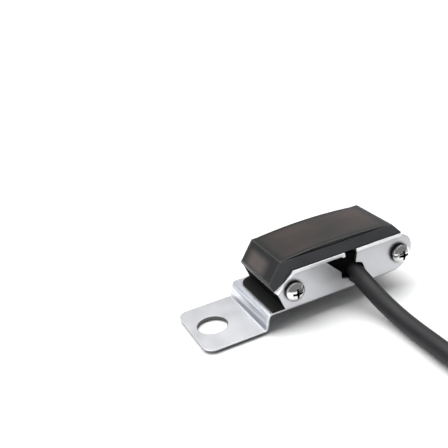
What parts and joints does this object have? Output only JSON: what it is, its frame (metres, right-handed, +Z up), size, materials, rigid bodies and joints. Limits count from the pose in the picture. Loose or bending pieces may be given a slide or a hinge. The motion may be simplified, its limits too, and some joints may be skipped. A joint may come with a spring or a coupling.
{
  "type": "door sensor head",
  "caption": "Door sensor head: smoked window on a black rim, held on a cranked zinc-plated bracket with a fixing hole, with a side cable.",
  "frame": {"origin": "centre of the bracket's fixing hole on the tab's underside", "axes": "+X along the bracket from the tab to the head, -Y the side the cable and screws are on, +Z up out of the smoked window"},
  "size_m": [0.1103, 0.1179, 0.0185],
  "materials": {
    "zinc_steel": "satin zinc plated sheet",
    "black_plastic": "fine moulded matt",
    "smoked_window": "smoked polycarbonate, polished",
    "black_rubber": "matt",
    "seal_rubber": "matt",
    "cable_jacket": "matt extruded",
    "screw_steel": "bright plated",
    "washer_steel": "bright plated",
    "brass_insert": "machined",
    "pin_steel": "plated",
    "board_green": "solder mask",
    "clear_epoxy": "clear tinted epoxy",
    "dark_epoxy": "dark tinted epoxy",
    "chip_black": "moulded",
    "ceramic_part": "glazed",
    "capacitor_can": "drawn",
    "led_white": "moulded",
    "copper_crimp": "crimped",
    "core_insulation": "pvc",
    "tinned_tip": "tinned",
    "tie_nylon": "nylon",
    "sleeve_black": "shrink sleeve"
  },
  "bodies": {
    "sensor": {"mounting_bracket": "zinc_steel", "seat_plate": "zinc_steel", "rim_frame": "black_plastic", "window_cover": "smoked_window", "lower_body": "black_plastic", "window_seal": "seal_rubber", "rubber_pad": "black_rubber", "circuit_board": "board_green", "board_screws": "washer_steel", "ir_emitters": "clear_epoxy", "photodiodes": "dark_epoxy", "controller_chip": "chip_black", "chip_resistors": "ceramic_part", "capacitor": "capacitor_can", "status_led": "led_white", "light_baffle": "black_plastic", "spring_washers": "washer_steel", "threaded_inserts": "brass_insert", "back_pins": "pin_steel", "cable_gland": "black_rubber", "cable_clamp": "copper_crimp", "cable": "cable_jacket", "cable_coil": "cable_jacket", "coil_tie": "tie_nylon", "end_sleeve": "sleeve_black", "end_cores": "core_insulation", "ferrules": "tinned_tip", "inner_cores": "core_insulation"},
    "screw_left_body": {"screw_left": "screw_steel"},
    "screw_right_body": {"screw_right": "screw_steel"}
  },
  "joints": [
    {"name": "screw_left_turn", "type": "hinge", "parent": "sensor", "child": "screw_left_body", "pos_m": [0.0198, -0.0114, 0.0099], "axis": [0, 1, 0], "continuous": true},
    {"name": "screw_right_turn", "type": "hinge", "parent": "sensor", "child": "screw_right_body", "pos_m": [0.0528, -0.0114, 0.0099], "axis": [0, 1, 0], "continuous": true}
  ]
}
